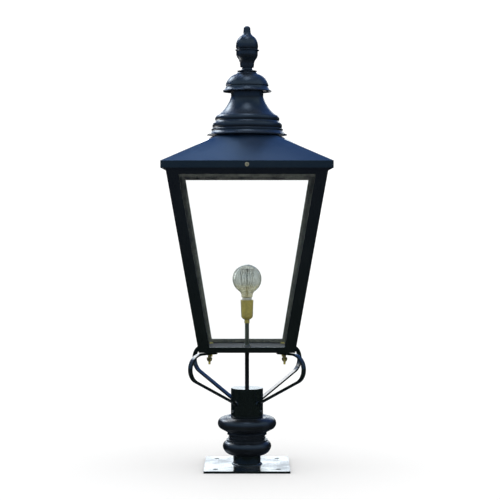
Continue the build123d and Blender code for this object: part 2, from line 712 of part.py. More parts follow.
with BuildPart() as roof:
    add(roof_form(0))
    add(roof_form(ROOF_SHEET_HEIGHT), mode=Mode.SUBTRACT)
    with BuildSketch(level(FASCIA_TOP)):
        Circle(ROOF_MOUTH_RADIUS)
    extrude(amount=ROOF_TOP - FASCIA_TOP, mode=Mode.SUBTRACT)
roof.part.label = "roof"
export_step(roof.part, "parts/roof.step")

with BuildPart() as fascia:
    with BuildSketch(level(FASCIA_BOTTOM)):
        Rectangle(EAVES_WIDTH, EAVES_WIDTH)
        inside = EAVES_WIDTH - 2 * FASCIA_SHEET
        Rectangle(inside, inside, mode=Mode.SUBTRACT)
    extrude(amount=FASCIA_TOP - FASCIA_BOTTOM)
    with BuildSketch(level(FASCIA_BOTTOM)):
        Rectangle(inside, inside)
        Rectangle(inside - 2 * FASCIA_SHEET, inside - 2 * FASCIA_SHEET, mode=Mode.SUBTRACT)
    extrude(amount=HEM_HEIGHT)
    with BuildSketch(PROFILE.offset(EAVES_WIDTH / 2)):
        with Locations((0, CANOPY_SCREW_HEIGHT)):
            Circle(CANOPY_SCREW_DIA / 2)
    extrude(amount=-2 * FASCIA_SHEET, mode=Mode.SUBTRACT)
fascia.part.label = "fascia"
export_step(fascia.part, "parts/fascia.step")

# The moulding is spun in one piece: a flared skirt, a fillet and two stepped bands.
with BuildPart() as chimney_moulding:
    with BuildSketch(PROFILE):
        with BuildLine():
            Line((110, 908.5), (110, 910.5))
            ThreePointArc((110, 910.5), (102.6, 914.4), (98, 920.5))
            Polyline((98, 920.5), (98.8, 921.5), (98.8, 925), (97.5, 926.3), (95, 926.8))
            ThreePointArc((95, 926.8), (96.4, 934), (94.5, 941))
            ThreePointArc((94.5, 941), (90.6, 943.2), (87.6, 947.3))
            ThreePointArc((87.6, 947.3), (89.2, 953.5), (87, 959.5))
            Polyline((87, 959.5), (84.5, RING_TOP), (79, RING_TOP), (79, 949), (85, 945), (91.5, 940))
            Polyline((91.5, 940), (91.5, 927.5), (94, 925), (94, 918))
            Polyline((94, 918), (75, 918), (75, ROOF_TOP), (95.5, ROOF_TOP), (106, 908.5), (110, 908.5))
        make_face()
    revolve(axis=Axis.Z)
chimney_moulding.part.label = "chimney_moulding"
export_step(chimney_moulding.part, "parts/chimney_moulding.step")

neck = CHIMNEY_NECK_RADIUS
bore = CHIMNEY_NECK_RADIUS - CHIMNEY_SHEET
with BuildPart() as chimney:
    with BuildSketch(PROFILE):
        with BuildLine():
            ThreePointArc((81.5, RING_TOP), (59.8, 984.2), (neck, 1014))
            Polyline((neck, 1014), (neck, CHIMNEY_TOP), (bore, CHIMNEY_TOP), (bore, 1014))
            ThreePointArc((bore, 1014), (58.2, 982.9), (79.2, RING_TOP))
            Line((79.2, RING_TOP), (81.5, RING_TOP))
        make_face()
    revolve(axis=Axis.Z)
chimney.part.label = "chimney"
export_step(chimney.part, "parts/chimney.step")

with BuildPart() as vent_cap:
    with BuildSketch(PROFILE):
        with BuildLine():
            Polyline((ROD_DIA / 2, CAP_TOP), (24.5, CAP_TOP))
            ThreePointArc((24.5, CAP_TOP), (28.6, 1077.9), (36, 1074.3))
            ThreePointArc((36, 1074.3), (52.2, 1061.5), (59.8, 1044.8))
            Polyline((59.8, 1044.8), (57.8, 1042.8), (58.6, 1041))
            ThreePointArc((58.6, 1041), (61.8, 1035), (67.5, 1030))
            Polyline((67.5, 1030), (66.8, 1027.8), (64.3, 1028.4))
            ThreePointArc((64.3, 1028.4), (59.2, 1033.8), (55.6, 1041.5))
            Line((55.6, 1041.5), (57, 1045.2))
            ThreePointArc((57, 1045.2), (50, 1060), (34.8, 1071.8))
            ThreePointArc((34.8, 1071.8), (26.8, 1075.7), (22, CAP_TOP - CAP_SHEET))
            Polyline((22, CAP_TOP - CAP_SHEET), (ROD_DIA / 2, CAP_TOP - CAP_SHEET), (ROD_DIA / 2, CAP_TOP))
        make_face()
    revolve(axis=Axis.Z)
vent_cap.part.label = "vent_cap"
export_step(vent_cap.part, "parts/vent_cap.step")

# A bar across the chimney's mouth carries the cap on a rod and a distance tube.
with BuildPart() as cap_spider:
    with BuildSketch(level(CHIMNEY_TOP - SPIDER_THICKNESS)):
        Rectangle(2 * bore, SPIDER_WIDTH)
    extrude(amount=SPIDER_THICKNESS)
    with BuildSketch(level(SPIDER_TAB_BOTTOM)):
        Rectangle(2 * bore, SPIDER_WIDTH)
        Rectangle(2 * (bore - SPIDER_TAB), SPIDER_WIDTH, mode=Mode.SUBTRACT)
    extrude(amount=CHIMNEY_TOP - SPIDER_TAB_BOTTOM)
    with BuildSketch(level(SPIDER_TAB_BOTTOM)):
        Circle(bore)
        Circle(ROD_DIA / 2, mode=Mode.SUBTRACT)
    extrude(amount=CHIMNEY_TOP - SPIDER_TAB_BOTTOM, mode=Mode.INTERSECT)
cap_spider.part.label = "cap_spider"
export_step(cap_spider.part, "parts/cap_spider.step")

with BuildPart() as cap_spacer:
    with BuildSketch(level(CHIMNEY_TOP)):
        Circle(SPACER_DIA / 2)
        Circle(ROD_DIA / 2, mode=Mode.SUBTRACT)
    extrude(amount=CAP_TOP - CAP_SHEET - CHIMNEY_TOP)
cap_spacer.part.label = "cap_spacer"
export_step(cap_spacer.part, "parts/cap_spacer.step")

with BuildPart() as finial_rod:
    with BuildSketch(level(ROD_BOTTOM)):
        Circle(ROD_DIA / 2)
    extrude(amount=ROD_TOP - ROD_BOTTOM)
finial_rod.part.label = "finial_rod"
export_step(finial_rod.part, "parts/finial_rod.step")

with BuildPart() as rod_nut:
    with BuildSketch(level(CHIMNEY_TOP - SPIDER_THICKNESS)):
        RegularPolygon(ROD_NUT_FLATS / 2, 6, major_radius=False)
        Circle(ROD_DIA / 2, mode=Mode.SUBTRACT)
    extrude(amount=-ROD_NUT_HEIGHT)
rod_nut.part.label = "rod_nut"
export_step(rod_nut.part, "parts/rod_nut.step")

with BuildPart() as finial:
    with BuildSketch(PROFILE):
        with BuildLine():
            Polyline((ROD_DIA / 2, CAP_TOP), (27.5, CAP_TOP), (27.5, 1085), (21, 1085.8))
            ThreePointArc((21, 1085.8), (16, 1088), (14.3, 1093.6))
            Polyline((14.3, 1093.6), (18.6, 1094.6), (19.4, 1102))
            ThreePointArc((19.4, 1102), (20.6, 1109.5), (25, 1117.5))
            ThreePointArc((25, 1117.5), (28.6, 1124), (29.8, 1132))
            Polyline((29.8, 1132), (29.8, 1138.8), (33.6, 1140.6), (33.6, 1142), (28.8, 1144.6), (30.3, 1147))
            ThreePointArc((30.3, 1147), (30.4, 1158), (27, 1169.5))
            ThreePointArc((27, 1169.5), (22.6, 1175.8), (17, 1180.4))
            ThreePointArc((17, 1180.4), (12.9, 1184.6), (10.3, 1190.5))
            Line((10.3, 1190.5), (9, 1203.5))
            ThreePointArc(*crown(9, 1203.5, FINIAL_TOP))
            Polyline((0, FINIAL_TOP), (0, ROD_TOP), (ROD_DIA / 2, ROD_TOP), (ROD_DIA / 2, CAP_TOP))
        make_face()
    revolve(axis=Axis.Z)
finial.part.label = "finial"
export_step(finial.part, "parts/finial.step")

# ---------------------------------------------------------------- hinges and lock screw

side_knuckle = (HINGE_WIDTH - MIDDLE_KNUCKLE) / 2 - KNUCKLE_GAP
side_centre = HINGE_WIDTH / 2 - side_knuckle / 2
web_top = HINGE_AXIS_Z - KNUCKLE_RADIUS + LEAF_THICKNESS
web_bottom = HINGE_AXIS_Z - KNUCKLE_RADIUS
leaf_foot, leaf_head = half_width(FRAME_LEAF_BOTTOM), half_width(FRAME_LEAF_TOP)

with BuildPart() as frame_leaves:
    for centre in (-HINGE_X, HINGE_X):
        for offset_x in (-side_centre, side_centre):
            low_x = centre + offset_x - side_knuckle / 2
            with BuildSketch(end_on(low_x)):
                with Locations((HINGE_AXIS_Y, HINGE_AXIS_Z)):
                    Circle(KNUCKLE_RADIUS)
                with BuildLine():
                    Polyline(
                        (half_width(web_top), web_top), (HINGE_AXIS_Y, web_top),
                        (HINGE_AXIS_Y, web_bottom), (half_width(web_bottom), web_bottom), close=True,
                    )
                make_face()
                with Locations((HINGE_AXIS_Y, HINGE_AXIS_Z)):
                    Circle(HINGE_PIN_RADIUS, mode=Mode.SUBTRACT)
            extrude(amount=side_knuckle)
        with BuildSketch(end_on(centre - HINGE_WIDTH / 2)):
            with BuildLine():
                Polyline(
                    (leaf_head, FRAME_LEAF_TOP), (leaf_head + LEAF_THICKNESS, FRAME_LEAF_TOP),
                    (leaf_foot + LEAF_THICKNESS, FRAME_LEAF_BOTTOM),
                    (leaf_foot, FRAME_LEAF_BOTTOM), close=True,
                )
            make_face()
        extrude(amount=HINGE_WIDTH)
frame_leaves.part.label = "frame_hinge_leaves"
export_step(frame_leaves.part, "parts/frame_hinge_leaves.step")

with BuildPart() as canopy_leaves:
    for centre in (-HINGE_X, HINGE_X):
        with BuildSketch(end_on(centre - MIDDLE_KNUCKLE / 2)):
            with Locations((HINGE_AXIS_Y, HINGE_AXIS_Z)):
                Circle(KNUCKLE_RADIUS)
            with BuildLine():
                Polyline(
                    (EAVES_WIDTH / 2, HINGE_AXIS_Z), (EAVES_WIDTH / 2 + LEAF_THICKNESS, HINGE_AXIS_Z),
                    (EAVES_WIDTH / 2 + LEAF_THICKNESS, CANOPY_LEAF_TOP),
                    (EAVES_WIDTH / 2, CANOPY_LEAF_TOP), close=True,
                )
            make_face()
            with Locations((HINGE_AXIS_Y, HINGE_AXIS_Z)):
                Circle(HINGE_PIN_RADIUS + PIN_CLEARANCE, mode=Mode.SUBTRACT)
        extrude(amount=MIDDLE_KNUCKLE)
        with BuildSketch(PROFILE.offset(-EAVES_WIDTH / 2)):
            with Locations((centre, (CANOPY_LEAF_TOP + CANOPY_LEAF_BOTTOM) / 2)):
                Rectangle(HINGE_WIDTH, CANOPY_LEAF_TOP - CANOPY_LEAF_BOTTOM)
        extrude(amount=-LEAF_THICKNESS)
canopy_leaves.part.label = "canopy_hinge_leaves"
export_step(canopy_leaves.part, "parts/canopy_hinge_leaves.step")

with BuildPart() as hinge_pins:
    for centre in (-HINGE_X, HINGE_X):
        with BuildSketch(end_on(centre - HINGE_WIDTH / 2)):
            with Locations((HINGE_AXIS_Y, HINGE_AXIS_Z)):
                Circle(HINGE_PIN_RADIUS)
        extrude(amount=HINGE_WIDTH)
        for end, outward in ((centre - HINGE_WIDTH / 2, -1), (centre + HINGE_WIDTH / 2, 1)):
            with BuildSketch(end_on(end)):
                with Locations((HINGE_AXIS_Y, HINGE_AXIS_Z)):
                    Circle(PIN_HEAD_RADIUS)
            extrude(amount=outward * PIN_HEAD_LENGTH)
hinge_pins.part.label = "hinge_pins"
export_step(hinge_pins.part, "parts/hinge_pins.step")

# The screw is drawn backed off, so that its tip clears the frame's top edge as the canopy lifts.
fascia_front = EAVES_WIDTH / 2
screw_reach = half_width(BODY_TOP) + CANOPY_SCREW_SLACK
with BuildPart() as canopy_screw:
    with BuildSketch(PROFILE.offset(screw_reach)):
        with Locations((0, CANOPY_SCREW_HEIGHT)):
            Circle(CANOPY_SCREW_DIA / 2)
    extrude(amount=fascia_front - screw_reach)
    with BuildSketch(PROFILE.offset(fascia_front)):
        with Locations((0, CANOPY_SCREW_HEIGHT)):
            Circle(CANOPY_SCREW_HEAD_DIA / 2)
    extrude(amount=CANOPY_SCREW_HEAD)
    head_rim = canopy_screw.edges().filter_by(GeomType.CIRCLE).sort_by(Axis.Y)[0]
    fillet(head_rim, CANOPY_SCREW_EDGE)
    with BuildSketch(PROFILE.offset(fascia_front + CANOPY_SCREW_HEAD)):
        with Locations((0, CANOPY_SCREW_HEIGHT)):
            RegularPolygon(CANOPY_SCREW_SOCKET, 6)
    extrude(amount=-CANOPY_SCREW_SOCKET_DEPTH, mode=Mode.SUBTRACT)
canopy_screw.part.label = "canopy_screw"
export_step(canopy_screw.part, "parts/canopy_screw.step")

with BuildPart() as canopy_screw_nut:
    with BuildSketch(PROFILE.offset(fascia_front - FASCIA_SHEET)):
        with Locations((0, CANOPY_SCREW_HEIGHT)):
            Rectangle(WELD_NUT_WIDTH, WELD_NUT_HEIGHT)
            Circle(CANOPY_SCREW_DIA / 2, mode=Mode.SUBTRACT)
    extrude(amount=-WELD_NUT_THICKNESS)
canopy_screw_nut.part.label = "canopy_screw_nut"
export_step(canopy_screw_nut.part, "parts/canopy_screw_nut.step")
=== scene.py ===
from math import atan, cos, pi, radians, sin, tau

import bpy
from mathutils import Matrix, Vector, noise


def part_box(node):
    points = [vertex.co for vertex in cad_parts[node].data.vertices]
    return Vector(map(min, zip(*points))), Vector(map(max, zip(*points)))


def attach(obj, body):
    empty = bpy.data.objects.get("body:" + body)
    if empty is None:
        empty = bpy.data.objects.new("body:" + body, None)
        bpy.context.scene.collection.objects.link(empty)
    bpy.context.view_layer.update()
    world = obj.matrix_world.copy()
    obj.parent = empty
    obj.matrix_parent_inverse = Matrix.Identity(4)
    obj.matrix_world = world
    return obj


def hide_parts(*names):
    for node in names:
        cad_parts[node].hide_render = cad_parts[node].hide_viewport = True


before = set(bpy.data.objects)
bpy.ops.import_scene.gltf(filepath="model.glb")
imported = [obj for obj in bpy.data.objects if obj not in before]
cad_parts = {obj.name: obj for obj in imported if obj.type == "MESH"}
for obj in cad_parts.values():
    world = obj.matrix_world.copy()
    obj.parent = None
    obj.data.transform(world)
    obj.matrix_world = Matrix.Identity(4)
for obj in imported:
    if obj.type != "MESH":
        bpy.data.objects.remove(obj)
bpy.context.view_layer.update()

# ---------------------------------------------------------------- base plate and spigot tube
# A 6 mm steel plate with a standard tube welded upright in its middle. Both are gloss painted, and
# the painted weld runs all the way round the foot of the tube in small ripples.


class Coat:
    """One socket of a finish's shader, used in plain expressions."""

    def __init__(self, tree, socket=None):
        self.tree = tree
        self.socket = socket

    def node(self, kind, settings=None, sockets=None, out=0):
        """Adds a node: its settings are made first, then its sockets get values or links."""
        made = self.tree.nodes.new(kind)
        for name, value in (settings or {}).items():
            setattr(made, name, value)
        for name, value in (sockets or {}).items():
            if isinstance(value, Coat):
                self.tree.links.new(value.socket, made.inputs[name])
            else:
                made.inputs[name].default_value = value
        return Coat(self.tree, made.outputs[out])

    def out(self, name):
        """Another output of the same node."""
        return Coat(self.tree, self.socket.node.outputs[name])

    def sum_of(self, operation, first, second):
        return self.node("ShaderNodeMath", {"operation": operation}, {0: first, 1: second})

    def __add__(self, other):
        return self.sum_of("ADD", self, other)

    def __sub__(self, other):
        return self.sum_of("SUBTRACT", self, other)

    def __rsub__(self, other):
        return self.sum_of("SUBTRACT", other, self)

    def __mul__(self, other):
        return self.sum_of("MULTIPLY", self, other)

    def __pow__(self, other):
        return self.sum_of("POWER", self, other)

    __radd__ = __add__
    __rmul__ = __mul__

    def step(self, low, high):
        """0 below low, 1 above high, smooth between; low and high may be swapped."""
        ends = {"Value": self, "From Min": low, "From Max": high}
        return self.node("ShaderNodeMapRange", {"interpolation_type": "SMOOTHSTEP"}, ends)

    def mix(self, under, over):
        """A colour, from under where this is 0 to over where it is 1."""
        return self.node("ShaderNodeMix", {"data_type": "RGBA"}, {0: self, 6: under, 7: over}, out=2)

    def place(self):
        """Where a point is on the piece, in metres."""
        return self.node("ShaderNodeTexCoord", out="Object")

    def stretch(self, x, y, z):
        return self.node("ShaderNodeVectorMath", {"operation": "MULTIPLY"}, {0: self, 1: (x, y, z)})

    def grain(self, per_metre, detail=2.0, rough=0.5):
        """Cloudy noise over a place, about so many grains to the metre."""
        sockets = {"Vector": self, "Scale": per_metre, "Detail": detail, "Roughness": rough}
        return self.node("ShaderNodeTexNoise", {}, sockets, out="Fac")

    def axis(self, name):
        return self.node("ShaderNodeSeparateXYZ", {}, {"Vector": self}, out=name)

    def relief(self, depth, under=None):
        """A bump of this height, depth in metres, over the rounded edges below it."""
        sockets = {"Height": self, "Distance": depth, "Strength": 1.0}
        if under:
            sockets["Normal"] = under
        return self.node("ShaderNodeBump", {}, sockets)

    def soft_edges(self, radius):
        return self.node("ShaderNodeBevel", {"samples": 4}, {"Radius": radius})

    def dot(self, other):
        settings = {"operation": "DOT_PRODUCT"}
        return self.node("ShaderNodeVectorMath", settings, {0: self, 1: other}, out="Value")

    def normal(self):
        """Which way the surface looks, in the piece's own frame."""
        return self.node("ShaderNodeTexCoord", out="Normal")

    def upward(self):
        """1 on faces that look straight up, -1 on those that look down."""
        return self.normal().axis("Z")

    def inward(self):
        """1 on faces that look towards the lantern's axis, 0 on those that look out."""
        return self.normal().dot(self.place().stretch(1, 1, 0)).step(-0.01, -0.04)

    def glancing(self):
        """0 where a surface is met square on, 1 at its rim, the same from both of its sides."""
        return self.node("ShaderNodeLayerWeight", {}, {"Blend": 0.5}, out="Facing")


def finish(name, build):
    """A material whose shader is what build returns from an empty Coat."""
    material = bpy.data.materials.new(name)
    material.use_nodes = True
    tree = material.node_tree
    tree.nodes.clear()
    shader = build(Coat(tree))
    tree.links.new(shader.socket, tree.nodes.new("ShaderNodeOutputMaterial").inputs["Surface"])
    return material


BLACK = (0.0018, 0.0032, 0.0026, 1)
BLACK_THIN = (0.0034, 0.0054, 0.0048, 1)
DUST = (0.085, 0.09, 0.092, 1)
INSIDE_DUST_AND_LIGHT = (0.15, 0.165, 0.135, 1)
EDGE_SOFTNESS = 0.0007


def gloss_paint(dust=0.16, roughness=0.2, waviness=0.00012, inside=False, coat_weight=0.35,
                colours=(BLACK, BLACK_THIN)):
    """Black gloss over steel: slight orange peel and waves, dust on top, and inner faces paler in
    patches: dust and painted light.
    """
    def build(coat):
        place = coat.place()
        cloud = place.grain(14, 3)
        fine = place.grain(320, 3, 0.6)
        streak = place.stretch(60, 60, 7).grain(1, 4, 0.6)
        settled = coat.upward().step(0.35, 1.0) * (fine * 0.6 + cloud * 0.7).step(0.5, 0.95) * dust
        film = (cloud * 0.5 + streak * 0.5).step(0.35, 0.75).mix(*colours)
        waves = place.grain(22, 1).relief(waviness, coat.soft_edges(EDGE_SOFTNESS))
        skin = place.grain(650, 2).relief(0.000012, waves)
        colour = settled.mix(film, DUST)
        grip = roughness + 0.07 * (streak - 0.5) + 0.06 * (fine - 0.5) + settled * 0.9
        varnish = coat_weight
        if inside:
            # Painted light: inner faces are made paler in patches where they face into the lit lantern,
            # with dust in the same patches.
            patches = coat.inward() * (0.25 + 0.75 * (fine * 1.2 + streak * 0.8).step(0.7, 1.4))
            colour = patches.mix(colour, INSIDE_DUST_AND_LIGHT)
            grip = grip + patches * 0.5
            varnish = coat_weight * (1.0 - 0.9 * patches)
        return coat.node("ShaderNodeBsdfPrincipled", {}, {
            "Base Color": colour,
            "Roughness": grip,
            "Normal": skin,
            "IOR": 1.5,
            "Coat Weight": varnish,
            "Coat Roughness": 0.1,
        })
    return build


def dress(names, material, crease=32):
    """Gives carried-over CAD solids their finish, smooth except at their real edges."""
    for name in names:
        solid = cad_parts[name]
        if not solid.material_slots:
            solid.data.materials.append(None)
        for slot in solid.material_slots:
            slot.material = material
        solid.data.shade_smooth()
        solid.data.set_sharp_from_angle(angle=radians(crease))


def piece(name, points, faces, material, body, slot, crease=40):
    """A new mesh piece that rides on a body and takes the finish it is given. Its slot is not used."""
    mesh = bpy.data.meshes.new(name)
    mesh.from_pydata([tuple(p) for p in points], [], faces)
    mesh.validate()
    mesh.materials.append(material)
    mesh.shade_smooth()
    mesh.set_sharp_from_angle(angle=radians(crease))
    made = bpy.data.objects.new(name, mesh)
    bpy.context.scene.collection.objects.link(made)
    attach(made, body)
    return made


def skin_rings(rings, closed_path=False, capped=False):
    """Points and faces of a skin over closed rings of equal length."""
    count = len(rings[0])
    points = [p for ring in rings for p in ring]
    faces = []
    for i in range(len(rings) - (0 if closed_path else 1)):
        j = (i + 1) % len(rings)
        for k in range(count):
            n = (k + 1) % count
            faces.append((i * count + k, i * count + n, j * count + n, j * count + k))
    if capped:
        faces.append(tuple(range(count - 1, -1, -1)))
        faces.append(tuple(range((len(rings) - 1) * count, len(rings) * count)))
    return points, faces


# The plate's top has heavy dust, dust=0.5, which also serves as a painted reflection of the bright sky
# on its glossy top.
plate_paint = finish("plate_paint", gloss_paint(dust=0.5, roughness=0.16))
frame_paint = finish("frame_paint", gloss_paint())
TUBE_RADIUS = 0.03805
PLATE_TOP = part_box("base_plate")[1].z
TUBE_WELD = 0.0042
TUBE_WELD_RIPPLES = 78
TUBE_WELD_RINGS = 8 * TUBE_WELD_RIPPLES
TUBE_WELD_SEED = 3.0
WELD_SUNK = 0.25
WELD_STEPS = 6

dress(["base_plate"], plate_paint)
dress(["spigot_tube"], frame_paint)


def bead_of_weld(path, outward, upward, size, ripples, seed):
    """A closed fillet weld along a path, with overlapping ripples, between two faces."""
    rings = []
    for i, point in enumerate(path):
        along = i / len(path)
        ripple = abs(sin(pi * ripples * along))
        wander = noise.noise(Vector((along * 23, seed, 0.5)))
        reach = size * (0.94 + 0.1 * ripple + 0.09 * wander)
        ring = [point + outward[i] * (-WELD_SUNK * size) + upward[i] * (-WELD_SUNK * size)]
        for k in range(WELD_STEPS + 1):
            turn = radians(90 * k / WELD_STEPS)
            bulge = reach * (1 - 0.14 * sin(2 * turn))
            ring.append(point + outward[i] * (bulge * cos(turn)) + upward[i] * (bulge * sin(turn)))
        rings.append(ring)
    return skin_rings(rings, closed_path=True)


foot_turns = [tau * i / TUBE_WELD_RINGS for i in range(TUBE_WELD_RINGS)]
foot_path = [Vector((TUBE_RADIUS * cos(t), TUBE_RADIUS * sin(t), PLATE_TOP)) for t in foot_turns]
foot_out = [Vector((cos(t), sin(t), 0)) for t in foot_turns]
foot_up = [Vector((0, 0, 1))] * TUBE_WELD_RINGS
foot_weld = bead_of_weld(foot_path, foot_out, foot_up, TUBE_WELD, TUBE_WELD_RIPPLES, TUBE_WELD_SEED)
piece("tube_weld", *foot_weld, frame_paint, "pedestal", "black_paint")

# ---------------------------------------------------------------- knop
# One turned iron casting that drops over the tube, with two fat rings and a fine waist between.
# The paint is thicker here and lies over a slightly pitted, softly uneven casting skin.

CAST_BLACK = (0.0038, 0.0052, 0.0072, 1)
CAST_BLACK_THIN = (0.0062, 0.0082, 0.0112, 1)


def cast_paint(coat):
    place = coat.place()
    pits = place.grain(190, 4, 0.65)
    lumps = place.grain(38, 2)
    turned = place.stretch(3, 3, 420).grain(1, 2)
    settled = coat.upward().step(0.5, 1.0) * pits.step(0.45, 0.8) * 0.22
    film = lumps.step(0.4, 0.7).mix(CAST_BLACK, CAST_BLACK_THIN)
    body = lumps.relief(0.0003, coat.soft_edges(0.0009))
    rings = turned.relief(0.00006, body)
    skin = pits.relief(0.00016, rings)
    return coat.node("ShaderNodeBsdfPrincipled", {}, {
        "Base Color": settled.mix(film, DUST),
        "Roughness": 0.32 + 0.14 * (pits - 0.5) + settled,
        "Normal": skin,
        "IOR": 1.5,
        "Coat Weight": 0.12,
        "Coat Roughness": 0.16,
    })


casting_paint = finish("casting_paint", cast_paint)
dress(["knop"], casting_paint)

# ---------------------------------------------------------------- collar and set screws
# The socket that sits over the tube on the knop's seat: a length of tube with a disc let into its
# top, painted, and three zinc plated socket screws that grip the tube.

dress(["collar_sleeve", "collar_disc"], frame_paint)

ZINC = (0.34, 0.345, 0.34, 1)
ZINC_DULL = (0.16, 0.165, 0.155, 1)


def dull_zinc(bright, dull, shine=0.95):
    """Plating that has been outdoors: darker, rougher and less metallic in patches."""
    def build(coat):
        place = coat.place()
        patches = place.grain(260, 4, 0.6)
        spangle = place.grain(900, 2)
        return coat.node("ShaderNodeBsdfPrincipled", {}, {
            "Base Color": patches.step(0.35, 0.7).mix(bright, dull),
            "Metallic": shine - 0.35 * patches.step(0.55, 0.8),
            "Roughness": 0.3 + 0.25 * patches + 0.1 * (spangle - 0.5),
            "Normal": spangle.relief(0.00002, coat.soft_edges(0.0003)),
        })
    return build


zinc = finish("dull_zinc", dull_zinc(ZINC, ZINC_DULL))
dress(["set_screws"], zinc)

# ---------------------------------------------------------------- arms
# Four flat bars, each bent once to a loop: welded low on the collar, out and up, and back under
# the lantern's corner, where a stud goes through. Each has a weld all round its lower end.

CORNERS = ["front_right", "back_right", "back_left", "front_left"]
ARM_NAMES = [f"arm_{c}" for c in CORNERS]
ARM_TURNS = [-45, 45, 135, 225]
COLLAR_RADIUS = 0.04445
ARM_WELD_HEIGHT = 0.1765
ARM_HALF_WIDTH = 0.0065
ARM_HALF_HEIGHT = 0.00278
ARM_WELD = 0.0032
ARM_WELD_RIPPLES = 15
ARM_WELD_RINGS = 160
ARM_WELD_SQUARENESS = 1.35
ARM_WELD_FLATNESS = 1.6

dress(ARM_NAMES + ["arm_washers"], frame_paint)

for name, turn in zip(ARM_NAMES, ARM_TURNS):
    outline = []
    for i in range(ARM_WELD_RINGS):
        angle = tau * i / ARM_WELD_RINGS
        across = ARM_HALF_WIDTH * max(-1, min(1, ARM_WELD_SQUARENESS * cos(angle)))
        rise = ARM_HALF_HEIGHT * max(-1, min(1, ARM_WELD_SQUARENESS * sin(angle)))
        side = Vector((cos(angle) / ARM_WELD_FLATNESS, sin(angle))).normalized()
        outline.append((across, rise, side))
    path, away, off_face = [], [], []
    for across, rise, side in outline:
        bearing = radians(turn) + across / COLLAR_RADIUS
        face = Vector((cos(bearing), sin(bearing), 0))
        along = Vector((-sin(bearing), cos(bearing), 0))
        path.append(face * COLLAR_RADIUS + Vector((0, 0, ARM_WELD_HEIGHT + rise)))
        away.append(along * side.x + Vector((0, 0, side.y)))
        off_face.append(face)
    weld = bead_of_weld(path, away, off_face, ARM_WELD, ARM_WELD_RIPPLES, turn)
    piece(name + "_weld", *weld, frame_paint, "lantern", "black_paint")

# ---------------------------------------------------------------- posts, rails and tray
# The lantern's body is a tapering frame of folded angle, four posts with rails between, closed
# at the foot by a sheet tray. All of it is painted as one.

SIDES = ["front", "right", "back", "left"]
TRAY_DUST_AND_REFLECTION = (0.1, 0.105, 0.1, 1)

body_frame = [f"post_{c}" for c in CORNERS]
body_frame += [f"bottom_rail_{s}" for s in SIDES] + [f"top_rail_{s}" for s in SIDES]
body_paint = finish("body_paint", gloss_paint(inside=True))
dress(body_frame, body_paint)


def tray_paint(coat):
    """The same paint inside, greyed on its upward faces by years of fine dust and insects under the
    lamp, and by a painted reflection of the bright sky.
    """
    place = coat.place()
    drift = place.grain(30, 4, 0.6)
    specks = place.grain(700, 3)
    # Upward faces are paler: dust, and a painted reflection of the bright sky.
    dust_and_reflection = coat.upward().step(0.7, 1.0) * (0.35 + 0.5 * drift + 0.3 * (specks - 0.5))
    return coat.node("ShaderNodeBsdfPrincipled", {}, {
        "Base Color": dust_and_reflection.mix(BLACK_THIN, TRAY_DUST_AND_REFLECTION),
        "Roughness": 0.5 + 0.3 * dust_and_reflection,
        "Normal": specks.relief(0.00003, coat.soft_edges(EDGE_SOFTNESS)),
        "IOR": 1.5,
        "Specular IOR Level": 0.08,
    })


inside_paint = finish("inside_paint", tray_paint)
dress(["floor_tray"], inside_paint)

# ---------------------------------------------------------------- glass and its beads
# Four flat panes behind the frame, each held from inside by four painted strips. The glass is
# nearly clean, with fine dirt in faint smears.

PANE_TINT = (0.996, 1.0, 0.998, 1)
PANE_GLOSS = (0.9, 0.92, 0.92, 1)
BEAD_PAINT_AND_LIGHT = (0.018, 0.022, 0.018, 1)
BEAD_DUST_AND_LIGHT = (0.17, 0.185, 0.155, 1)


def pane_glass(coat):
    """Clear both ways, with a reflection that grows at a glancing angle and dulls in the dirt."""
    place = coat.place()
    smear = place.stretch(9, 9, 4).grain(1, 4, 0.6)
    dirt = place.grain(420, 3, 0.7).step(0.55, 0.8) * smear.step(0.45, 0.8)
    clear = coat.node("ShaderNodeBsdfTransparent", {}, {"Color": PANE_TINT})
    gloss = coat.node("ShaderNodeBsdfGlossy", {}, {
        "Color": PANE_GLOSS,
        "Roughness": 0.03 + 0.3 * dirt,
        "Normal": smear.relief(0.0002),
    })
    shine = 0.015 + 0.6 * coat.glancing() ** 4 + dirt * 0.015
    return coat.node("ShaderNodeMixShader", {}, {0: shine, 1: clear, 2: gloss})


glass = finish("pane_glass", pane_glass)
dress([f"pane_{s}" for s in SIDES], glass)


def putty_film(coat):
    """The beads inside: paint made paler as painted light from the lit lantern, and dulled by dust and
    drips, in clouds and fine specks.
    """
    place = coat.place()
    cloud = place.stretch(30, 30, 12).grain(1, 4, 0.6)
    specks = place.grain(420, 3, 0.65)
    # The beads' paint and its pale patches are partly painted light, where the beads face into the lit
    # lantern.
    patches = (cloud * 0.55 + specks * 0.6).step(0.35, 0.8)
    return coat.node("ShaderNodeBsdfPrincipled", {}, {
        "Base Color": patches.mix(BEAD_PAINT_AND_LIGHT, BEAD_DUST_AND_LIGHT),
        "Roughness": 0.5 + 0.25 * patches,
        "Normal": specks.relief(0.00005, coat.soft_edges(EDGE_SOFTNESS)),
        "IOR": 1.45,
    })


bead_film = finish("bead_film", putty_film)
dress([f"glazing_beads_{s}" for s in SIDES], bead_film)

# ---------------------------------------------------------------- studs and their nuts
# Four brass studs with domed heads inside the tray, and brass nuts with round bosses below the
# arms. The metal has browned, and on the nuts, out in the weather, it is mottled with grime.

BRASS = (0.56, 0.48, 0.12, 1)
BRASS_BROWN = (0.32, 0.27, 0.075, 1)
BRASS_GRIME_AND_SHADE = (0.018, 0.018, 0.008, 1)
STUD_GRIME = 0.12
NUT_GRIME = 0.97


